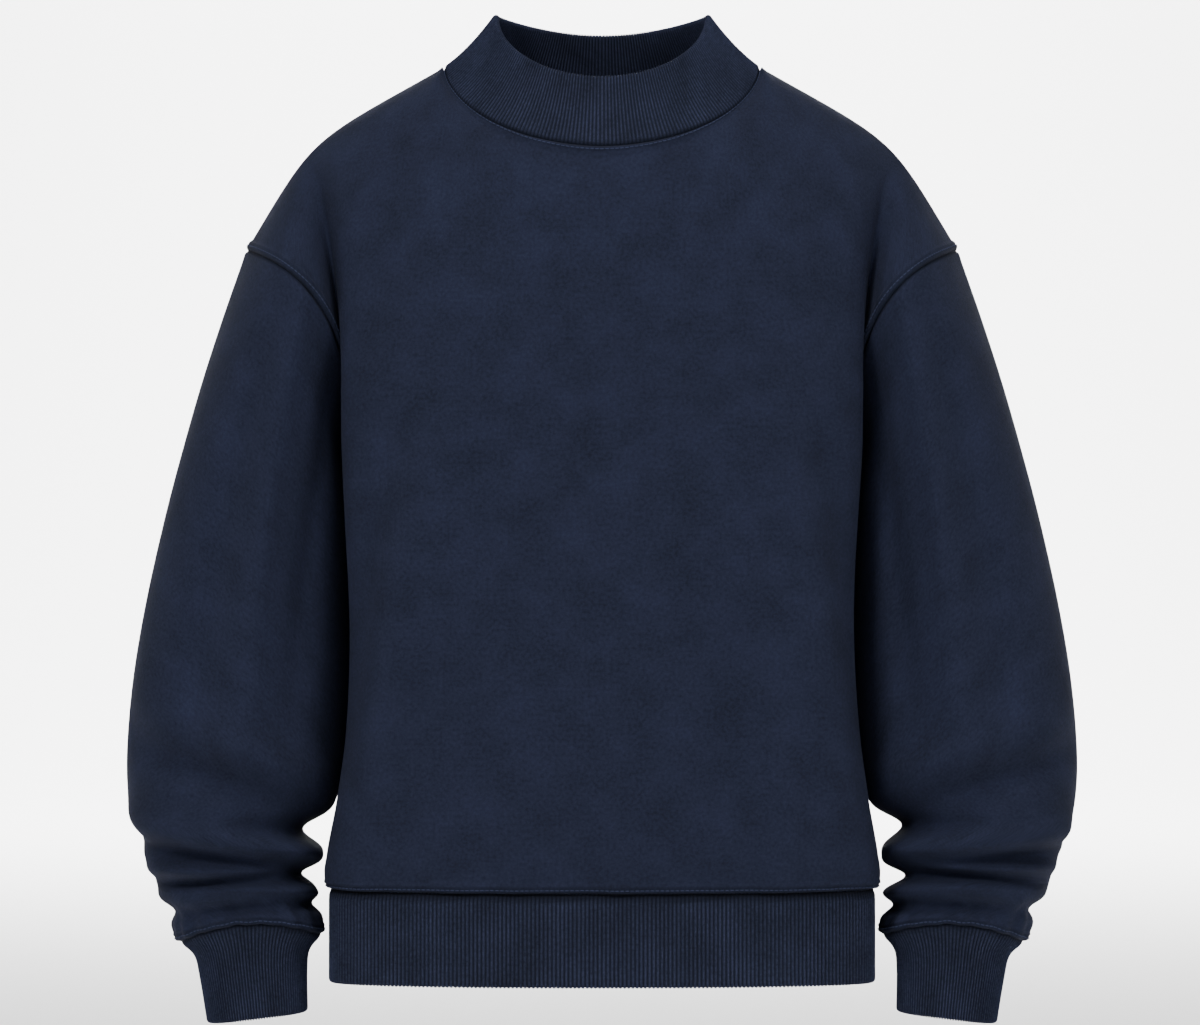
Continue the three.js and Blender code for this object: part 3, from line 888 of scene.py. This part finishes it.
# Loops are drawn about half as coarse again as real ones, so that they show.
# Jersey faced fleece with a brushed back: soft and matt, with a faint bloom from its loose fibres.
FLEECE = ClothFinish("brushed back cotton fleece", "#262b42", "#141826", 1.1, 0.9, 0.22, 0.02)
# Rib knit: the crowns of its ribs get the lighter colour, and painted shade makes it nearly black between
# them.
RIB = ClothFinish("cotton rib knit", "#353b55", "#121623", 1.5, 1.1, 0.22, 0.02)
# Spun polyester thread: a shade lighter than the cloth, so that a row of stitches reads as a fine line.
THREAD = ClothFinish("polyester sewing thread", "#3a415c", "#2a3046", 0.5, 0.5, 0.05, 0.02)


@dataclass(frozen=True)
class BackdropFinish:
    """Plain pale paper for the floor and the wall behind."""

    name: str = "pale paper"
    colour: str = "#f4f4f4"

    def build(self) -> bpy.types.Material:
        """Returns the material."""
        material = bpy.data.materials.new(self.name)
        material.use_nodes = True
        shader = material.node_tree.nodes["Principled BSDF"]
        shader.inputs["Base Color"].default_value = linear(self.colour)
        shader.inputs["Roughness"].default_value = 0.9
        return material


# ---------------------------------------------------------------- stitches


@dataclass
class Topstitch:
    """A row of short stitches beside a seam, all rows joined in one piece."""

    sides: int = 6
    rings: Tuple[float, ...] = (-0.5, -0.4, 0.0, 0.4, 0.5)
    swell: Tuple[float, ...] = (0.25, 0.85, 1.0, 0.85, 0.25)
    points: List[Array] = field(default_factory=list)
    quads: List[Array] = field(default_factory=list)
    count: int = 0

    def sew(self, line: Array, normals: Array, closed: bool) -> None:
        """Adds stitches along a line that lies on the cloth.

        Args:
            line: points on the cloth, in mm.
            normals: outward normals there.
            closed: whether the line is a ring.
        """
        if closed:
            line = np.concatenate([line, line[:1]])
            normals = np.concatenate([normals, normals[:1]])
        run = np.concatenate([[0], np.cumsum(np.linalg.norm(np.diff(line, axis=0), axis=1))])
        count = max(int(run[-1] / STITCH_PITCH), 1)
        middle = (np.arange(count) + 0.5) * run[-1] / count

        def at(values: Array, where: Array) -> Array:
            """Returns values along the line at distances from its start."""
            return np.stack([np.interp(where, run, values[:, k]) for k in range(3)], axis=-1)

        ahead = at(line, middle + 0.5) - at(line, middle - 0.5)
        ahead /= np.linalg.norm(ahead, axis=1, keepdims=True)
        out = at(normals, middle)
        out /= np.linalg.norm(out, axis=1, keepdims=True)
        beside = np.cross(ahead, out)
        centre = at(line, middle) + 0.12 * out
        angles = np.arange(self.sides) * 2 * math.pi / self.sides
        for k in range(count):
            ring = [centre[k] + ahead[k] * share * STITCH_LENGTH
                    + STITCH_RADIUS * size * (np.outer(np.cos(angles), beside[k])
                                              + np.outer(np.sin(angles), out[k]))
                    for share, size in zip(self.rings, self.swell)]
            self.add_tube(np.array(ring))

    def add_tube(self, rings: Array) -> None:
        """Adds one closed stitch, with its ends filled by quads.

        Args:
            rings: rings of six points in mm, from end to end.
        """
        n, s = rings.shape[:2]
        base = self.count
        index = np.arange(n * s).reshape(n, s) + base
        loop = np.concatenate([index, index[:, :1]], axis=1)
        body = np.stack([loop[:-1, :-1], loop[1:, :-1], loop[1:, 1:], loop[:-1, 1:]], -1).reshape(-1, 4)
        first, last = index[0], index[-1]
        caps = [[first[0], first[1], first[2], first[3]], [first[0], first[3], first[4], first[5]],
                [last[3], last[2], last[1], last[0]], [last[5], last[4], last[3], last[0]]]
        self.points.append(rings.reshape(-1, 3))
        self.quads += [body, np.array(caps)]
        self.count += n * s

    def build(self, name: str) -> bpy.types.Object:
        """Returns all the stitches as one object."""
        points = np.concatenate(self.points) * MM
        return mesh_object(name, points, np.concatenate(self.quads), False, points[:, [0, 2]])


class Edge(Enum):
    """An edge of a grid of cloth."""

    FIRST_ROW = "first row"
    LAST_ROW = "last row"
    FIRST_COLUMN = "first column"
    LAST_COLUMN = "last column"


def line_beside(cloth: Cloth, edge: Edge, distance: float, part: slice) -> Tuple[Array, Array]:
    """Finds a line on a cloth at an even distance from one of its edges.

    Args:
        cloth: the grid.
        edge: which edge.
        distance: mm from the edge.
        part: which columns, or rows for a column's edge, the line covers.

    Returns:
        The points of the line and the normals there.
    """
    points, normals = cloth.points, cloth.normals
    if edge in (Edge.FIRST_COLUMN, Edge.LAST_COLUMN):
        points, normals = points.swapaxes(0, 1), normals.swapaxes(0, 1)
    if edge in (Edge.LAST_ROW, Edge.LAST_COLUMN):
        points, normals = points[::-1], normals[::-1]
    points, normals = points[:LINES_NEAR_EDGE, part], normals[:LINES_NEAR_EDGE, part]
    step = np.linalg.norm(np.diff(points, axis=0), axis=-1)
    run = np.concatenate([np.zeros((1, step.shape[1])), np.cumsum(step, axis=0)])
    line, out = [], []
    for c in range(points.shape[1]):
        line.append([np.interp(distance, run[:, c], points[:, c, k]) for k in range(3)])
        out.append([np.interp(distance, run[:, c], normals[:, c, k]) for k in range(3)])
    return np.array(line), np.array(out)


# ---------------------------------------------------------------- sub-assemblies


def crowded(count: int, near: Sequence[float]) -> Array:
    """Returns shares from 0 to 1, evenly spaced, with more lines close to 1."""
    even = np.linspace(0, 1, count + 1)
    extra = 1 - np.array(near)
    keep = even[even < extra.min() - 0.25 / count]
    return np.concatenate([keep, np.sort(extra), [1.0]])


SEAM_LINES = (0.003, 0.0065, 0.010, 0.0135, 0.0165, 0.0195, 0.0235, 0.029)
YOKE_SHARES = crowded(86, SEAM_LINES)  # up the yoke, and round each half of an armhole
TORSO_SHARES = 1 - crowded(96, SEAM_LINES)[::-1]  # from the hem seam to the underarm
HALF_SHARES = crowded(92, SEAM_LINES)  # from the centre of a panel to its side


@dataclass
class Panel:
    """The front or back of the body."""

    side: Side
    folds: Tuple[LongFold, ...]
    flat: Tuple[float, float]
    area: float
    ridge: float = 1.7

    def across(self) -> Array:
        """Returns the places of the columns, from -1 at one side to 1 at the other."""
        return np.concatenate([-HALF_SHARES[:0:-1], HALF_SHARES])

    def cloth(self) -> Tuple[Cloth, Array]:
        """Shapes the outer face, with its folds and the ridges beside its seams.

        Returns:
            The grid of cloth, and the painted light of each point, lowered by painted shade in the seams
            and under the topstitching.
        """
        across = self.across()
        share = np.abs(across)[None, :]
        z = mix(HEM_SEAM_Z, UNDERARM_Z, TORSO_SHARES)[:, None]
        torso = torso_point(self.side, share, z)
        yoke = yoke_point(self.side, share, YOKE_SHARES[1:, None])
        points = np.concatenate([torso, yoke])
        points[..., 0] *= np.where(across < 0, -1, 1)
        made = Cloth(points, closed=False, turned=self.side.toward > 0)
        side_fade, shoulder_rows = 0.06, 12  # a share of the half width, and rows of the grid
        inside = ease((1 - share) / side_fade) * np.ones((len(points), 1))
        inside[-shoulder_rows:] *= np.linspace(1, 0, shoulder_rows)[:, None]
        height = long_fold_height(self.folds, points[..., 0], points[..., 2], 1.0) * inside
        distances = self.seam_distances(made, share)
        seams = sum(seam_profile(distance, self.ridge) for distance in distances)
        made.raise_by(height + self.hem_gathers(points) + seams)
        # Painted shade: the colour is darkened in the neck, armhole and hem seams and under their
        # topstitching.
        return made, np.prod([seam_painted_light(distance) for distance in distances], axis=0)

    def hem_gathers(self, points: Array) -> Array:
        """Shapes the small soft gathers where the body is eased into the tighter hem band.

        Args:
            points: the grid, in mm.

        Returns:
            Height in mm.
        """
        x, z = points[..., 0], points[..., 2]
        height, reach = 0.55, 26.0  # mm
        fine, medium, coarse = 7.5, 17.0, 31.0  # mm along the seam for each radian of a wave
        near = np.exp(-((z - HEM_SEAM_Z) / reach) ** 2)
        phase = 0.9 if self.side.toward > 0 else 0.0
        gathers = np.sin(x / fine + phase) * np.sin(x / coarse + 1.3 + phase)
        swell = 0.6 * np.sin(x / medium + 2 * phase)
        return height * near * (gathers + swell)

    def seam_distances(self, made: Cloth, share: Array) -> List[Array]:
        """Measures how far each point is from the seams that have a ridge.

        Args:
            made: the cloth.
            share: 0 at the centre and 1 at the side, for each column.

        Returns:
            The mm to the neck seam, the armhole and the hem seam, each far off where it has no ridge.
        """
        down = made.along_columns()
        row = made.along_rows()
        from_side = np.minimum(row, row[:, -1:] - row)
        in_yoke = (np.arange(len(down)) >= len(TORSO_SHARES) - 1)[:, None]
        far = 1000.0
        from_neck = np.where(share <= NECK_SHARE, down[-1:] - down, far)
        from_armhole = np.where(in_yoke, from_side, far)
        return [from_neck, from_armhole, down]

    def build(self, thread: Topstitch) -> bpy.types.Object:
        """Builds the panel and sews its topstitching.

        Args:
            thread: what the stitches are added to.

        Returns:
            The piece.
        """
        made, painted_light = self.cloth()
        on_neck = np.flatnonzero(np.abs(self.across()) <= NECK_SHARE)
        lines = {
            Edge.LAST_ROW: slice(on_neck[0], on_neck[-1] + 1),  # under the collar
            Edge.FIRST_ROW: slice(2, -2),  # over the hem band
            Edge.FIRST_COLUMN: slice(len(TORSO_SHARES), None),  # round the armholes
            Edge.LAST_COLUMN: slice(len(TORSO_SHARES), None),
        }
        for edge, part in lines.items():
            thread.sew(*line_beside(made, edge, TOPSTITCH_FROM_SEAM, part), False)
        return wall_mesh(self.side.name + "_cloth", made, FLEECE_WALL, painted_light)


@dataclass
class Sleeve:
    """A sleeve, made on the wearer's left and mirrored for the right."""

    name: str
    folds: Tuple[RoundFold, ...]
    mirror: bool
    rows: int = 150

    def build(self, thread: Topstitch) -> bpy.types.Object:
        """Builds the sleeve and sews the topstitching above its cuff.

        Args:
            thread: what the stitches are added to.

        Returns:
            The piece.
        """
        share = 1 - YOKE_SHARES[::-1]
        around = np.concatenate([-share, share[-2:0:-1]])[None, :]
        even = np.linspace(0, 1, self.rows + 1)
        along = np.unique(np.concatenate([even, SEAM_LINES, 1 - np.array(SEAM_LINES)]))[:, None]
        made = Cloth(sleeve_point(self.folds, along, around), closed=True)
        down = made.along_columns()
        from_cuff = down[-1:] - down
        height = seam_profile(down, 0.25) + seam_profile(from_cuff, 1.5)
        # Painted shade: the colour is darkened in the cuff seam, under its topstitching and in the armhole
        # seam.
        painted_light = seam_painted_light(from_cuff) * (1 - seam_shade(down))
        made.raise_by(height + self.cuff_gathers(from_cuff, around))
        if self.mirror:
            made = made.mirrored()
        thread.sew(*line_beside(made, Edge.LAST_ROW, TOPSTITCH_FROM_SEAM, slice(None)), True)
        return wall_mesh(self.name + "_cloth", made, FLEECE_WALL, painted_light)

    def cuff_gathers(self, from_cuff: Array, around: Array) -> Array:
        """Shapes the small pleats where the sleeve is eased into its narrow cuff.

        Args:
            from_cuff: mm from the cuff's seam.
            around: 0 on the outer line and 1 or -1 on the inner.

        Returns:
            Height in mm.
        """
        height, middle, reach = 0.9, 9.0, 14.0  # mm, the last two from the cuff's seam
        fine, coarse = 61, 37  # radians of a wave for half a turn of the sleeve
        phase = 1.1 if self.mirror else 0.0
        wave = np.sin(around * fine + phase) + 0.6 * np.sin(around * coarse + 2 * phase)
        return height * np.exp(-(((from_cuff - middle) / reach) ** 2)) * wave


@dataclass
class Band:
    """A folded ribbed band on a ring of cloth: collar, hem band or cuff.

    place gives the band's outer face from a share of its height and a place round the ring, whose
    places are the ones in ring.
    """

    name: str
    place: Callable[[Array, Array], Array]
    ring: Array
    rows: int
    turned: bool
    mirror: bool = False
    samples: int = 8

    def even_ring(self) -> Array:
        """Returns places round the ring, evenly spaced in mm, with a whole number of ribs."""
        start = self.place(np.zeros(1), self.ring)
        closed = np.concatenate([start, start[:1]])
        run = np.concatenate([[0], np.cumsum(np.linalg.norm(np.diff(closed, axis=0), axis=1))])
        count = int(round(run[-1] / RIB_PITCH)) * self.samples
        order = np.arange(len(self.ring) + 1)
        return np.interp(np.arange(count) / count * run[-1], run, order)

    def build(self) -> bpy.types.Object:
        """Builds the band with its ribs and its rounded free edge, and returns the piece."""
        where = self.even_ring()
        rise = np.linspace(0, 1, self.rows + 1)
        grid = np.stack([self.place(np.full(len(self.ring), r), self.ring) for r in rise])
        grid = np.concatenate([grid, grid[:, :1]], axis=1)
        order = np.arange(len(self.ring) + 1)
        points = np.stack([np.stack([np.interp(where, order, row[:, k]) for k in range(3)], -1)
                           for row in grid])
        made = Cloth(points, closed=True, turned=self.turned)
        out = made.normals
        phase = np.arange(len(where)) * 2 * math.pi / self.samples
        rib = ((0.5 + 0.5 * np.cos(phase)) ** RIB_FULLNESS)[None, :, None] * RIB_DEPTH
        from_seam = made.along_columns()[..., None]
        rib = rib * ease((from_seam - RIB_START) / RIB_RISE)
        groove = -BAND_GROOVE_DEPTH * np.exp(-((from_seam / BAND_GROOVE_WIDTH) ** 2))
        outer = points + out * (groove + rib - RIB_DEPTH * 0.5)
        ahead = points[-1] - points[-2]
        ahead /= np.linalg.norm(ahead, axis=-1, keepdims=True)
        middle = points[-1] - out[-1] * RIB_WALL / 2
        edge = []
        for angle in np.linspace(0, math.pi, EDGE_STEPS)[1:-1]:
            thick = RIB_WALL / 2 + (rib[-1] - RIB_DEPTH * 0.5)
            edge.append(middle + (out[-1] * math.cos(angle) + ahead * math.sin(angle)) * thick
                        - ahead * RIB_WALL / 2)
        drop = rise[:, None, None] ** EDGE_SOFTNESS * RIB_WALL / 2
        outer = outer - ahead * drop
        inner = (points - out * (RIB_WALL + rib - RIB_DEPTH * 0.5) - ahead * drop)[::-1]
        section = np.concatenate([outer, np.array(edge), inner])
        whole = Cloth(section, closed=True, turned=self.turned)
        if self.mirror:
            whole = whole.mirrored()
        # Painted shade: the colour is darkened between the ribs, and next to the seam where the ribs fade
        # out, as shade would fall there.
        rib_painted_light = (rib / RIB_DEPTH)[..., 0]
        painted_light_points = np.concatenate([rib_painted_light, np.repeat(rib_painted_light[-1:], len(edge), 0), rib_painted_light[::-1]])
        return self.closed_tube(whole, painted_light_points.ravel())

    def closed_tube(self, whole: Cloth, painted_light: Array) -> bpy.types.Object:
        """Joins the last row of the section to the first, so that the band is a closed ring.

        Args:
            whole: the section's rows, outer face then edge then inner face.
            painted_light: the painted light of each point, lowest where painted shade lies between the
                ribs.

        Returns:
            The piece.
        """
        rows, columns = whole.points.shape[:2]
        index = np.arange(rows * columns).reshape(rows, columns)
        index = np.concatenate([index, index[:1]], axis=0)
        index = np.concatenate([index, index[:, :1]], axis=1)
        quads = np.stack([index[:-1, :-1], index[:-1, 1:], index[1:, 1:], index[1:, :-1]], -1)
        flat = np.stack([whole.along_rows(), whole.along_columns()], axis=-1).reshape(-1, 2) * MM
        points = whole.points.reshape(-1, 3) * MM
        return mesh_object(self.name + "_cloth", points, quads.reshape(-1, 4), whole.turned, flat, painted_light)


def body_ring(columns: int) -> Array:
    """Returns places round the body: 0 to 1 over the front from the right, 1 to 2 over the back."""
    return np.arange(2 * columns) / columns


def round_body(place: Callable[[Side, Array, Array], Array]) -> Callable[[Array, Array], Array]:
    """Turns a function of one half of a side into a function of places round the body.

    Args:
        place: gives points from a side, a share across it and a rise.

    Returns:
        A function of a rise and places round the body.
    """

    def whole(rise: Array, ring: Array) -> Array:
        """Returns points at a rise and places round the body."""
        front = ring < 1
        s = np.where(front, 2 * ring - 1, 1 - 2 * (ring - 1))
        share = np.abs(s)
        points = np.where(front[..., None], place(FRONT, share, rise), place(BACK, share, rise))
        points[..., 0] *= np.where(s < 0, -1, 1)
        return points

    return whole


def hem_place(side: Side, share: Array, rise: Array) -> Array:
    """Finds points of the hem band, straight down from its seam.

    Args:
        side: front or back.
        share: 0 at the centre of the side and 1 at its side seam.
        rise: 0 at the seam and 1 at the free edge.

    Returns:
        Points in mm.
    """
    points = torso_point(side, share, HEM_SEAM_Z)
    points[..., 2] = HEM_SEAM_Z - HEM_HEIGHT * rise
    return points


def arm_ring(columns: int) -> Array:
    """Returns places round a cuff: outer line to inner by the front, and back again behind."""
    half = np.arange(columns) / columns
    return np.concatenate([-half, 1 - half])


# ---------------------------------------------------------------- studio


@dataclass
class Studio:
    """A pale floor that curves up into a wall, soft light and the camera."""

    distance: float = 4.5
    height: float = GARMENT_MIDDLE[2]
    across: float = -0.0015
    view_width: float = 0.888
    floor_z: float = -0.86
    wall_y: float = 8.0

    def sweep(self) -> bpy.types.Object:
        """Returns the floor and the wall behind as one curved sheet."""
        flat_to, bend = self.wall_y - 1.5, 1.5
        run = [(-9.0, 0.0), (flat_to, 0.0)]
        run += [(flat_to + bend * math.sin(a), bend - bend * math.cos(a))
                for a in np.linspace(0.1, math.pi / 2, 14)]
        run += [(self.wall_y, 8.0)]
        points = np.array([[x, y, self.floor_z + z] for y, z in run for x in (-14.0, 14.0)])
        index = np.arange(len(points)).reshape(-1, 2)
        quads = np.stack([index[:-1, 0], index[:-1, 1], index[1:, 1], index[1:, 0]], axis=-1)
        made = mesh_object("studio_sweep", points, quads, False, points[:, :2])
        made.data.materials.append(BackdropFinish().build())
        return made

    def lamp(self, name: str, place: Tuple[float, float, float], size: float, power: float,
             target: Tuple[float, float, float] = GARMENT_MIDDLE) -> None:
        """Adds a square soft light.

        Args:
            name: name of the light.
            place: where it stands.
            size: length of its side.
            power: watts.
            target: what it faces, the middle of the garment unless told otherwise.
        """
        data = bpy.data.lights.new(name, "AREA")
        data.size, data.energy = size, power
        lamp = bpy.data.objects.new(name, data)
        lamp.location = place
        aim = np.array(target) - np.array(place)
        lamp.rotation_euler = direction(aim)
        bpy.context.scene.collection.objects.link(lamp)

    def build(self) -> None:
        """Builds the sweep, the lights and the camera."""
        self.sweep()
        self.lamp("key", (-1.9, -3.1, 2.2), 1.1, 92.0)
        self.lamp("fill", (2.3, -2.8, 1.5), 1.3, 50.0)
        self.lamp("top", (0.0, -0.9, 2.6), 1.2, 34.0)
        self.lamp("wall", (0.0, 5.6, 3.4), 3.0, 760.0, (0.0, self.wall_y, -0.35))
        self.lamp("floor", (0.0, 5.4, 2.6), 2.4, 420.0, (0.0, 6.6, self.floor_z))
        world = bpy.data.worlds.new("studio air")
        world.use_nodes = True
        world.node_tree.nodes["Background"].inputs["Color"].default_value = linear("#ffffff")
        world.node_tree.nodes["Background"].inputs["Strength"].default_value = 0.27
        bpy.context.scene.world = world
        data = bpy.data.cameras.new("camera")
        data.lens = data.sensor_width * self.distance / self.view_width
        camera = bpy.data.objects.new("camera", data)
        camera.location = (self.across, -self.distance, self.height)
        camera.rotation_euler = direction(np.array([0.0, 1.0, 0.0]))
        bpy.context.scene.collection.objects.link(camera)
        bpy.context.scene.camera = camera


def direction(aim: Array) -> Tuple[float, float, float]:
    """Returns the turn that points a camera or lamp along a direction."""
    x, y, z = aim
    return (math.atan2(math.hypot(x, y), -z), 0.0, math.atan2(-x, y))


# ---------------------------------------------------------------- the garment


@dataclass
class Pullover:
    """The whole garment: its pieces, how they are cut and how they are dressed."""

    thread: Topstitch = field(default_factory=Topstitch)

    def dress(self, piece: bpy.types.Object, finish: bpy.types.Material, node: str) -> None:
        """Gives a piece its finish and its body, and hides the solid that it stands for.

        Args:
            piece: the piece.
            finish: its material.
            node: the solid, or nothing where it stands for none.
        """
        piece.data.materials.append(finish)
        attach(piece, "root")
        if node:
            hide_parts(node)
        log.info("%s: %d faces", piece.name, len(piece.data.polygons))

    def build(self) -> None:
        """Builds and dresses every piece."""
        fleece, rib, thread = FLEECE.build(), RIB.build(), THREAD.build()
        front = Panel(FRONT, FRONT_FOLDS, (0.62, 0.68), 0.36)
        back = Panel(BACK, BACK_FOLDS, (0.62, 0.70), 0.37)
        panels = [front.build(self.thread), back.build(self.thread)]
        sleeves = [Sleeve("sleeve_left", LEFT_FOLDS, False).build(self.thread),
                   Sleeve("sleeve_right", RIGHT_FOLDS, True).build(self.thread)]
        collar = Band("collar", round_body(collar_point), body_ring(400), 14, False).build()
        hem = Band("hem_band", round_body(hem_place), body_ring(400), 10, True, samples=6).build()
        cuff_shape = dict(place=cuff_point, ring=arm_ring(200), rows=14)
        cuffs = [Band("cuff_left", turned=False, **cuff_shape).build(),
                 Band("cuff_right", turned=False, mirror=True, **cuff_shape).build()]
        for piece, node in zip(panels + sleeves, ("front", "back", "sleeve_left", "sleeve_right")):
            self.dress(piece, fleece, node)
        for piece, node in zip([collar, hem] + cuffs, ("collar", "hem_band", "cuff_left", "cuff_right")):
            self.dress(piece, rib, node)
        stitches = self.thread.build("topstitching")
        self.dress(stitches, thread, "")


def main() -> None:
    """Builds the garment and the studio."""
    logging.basicConfig(level=logging.INFO, format="%(name)s: %(message)s")
    Pullover().build()
    Studio().build()


if __name__ == "__main__":
    main()
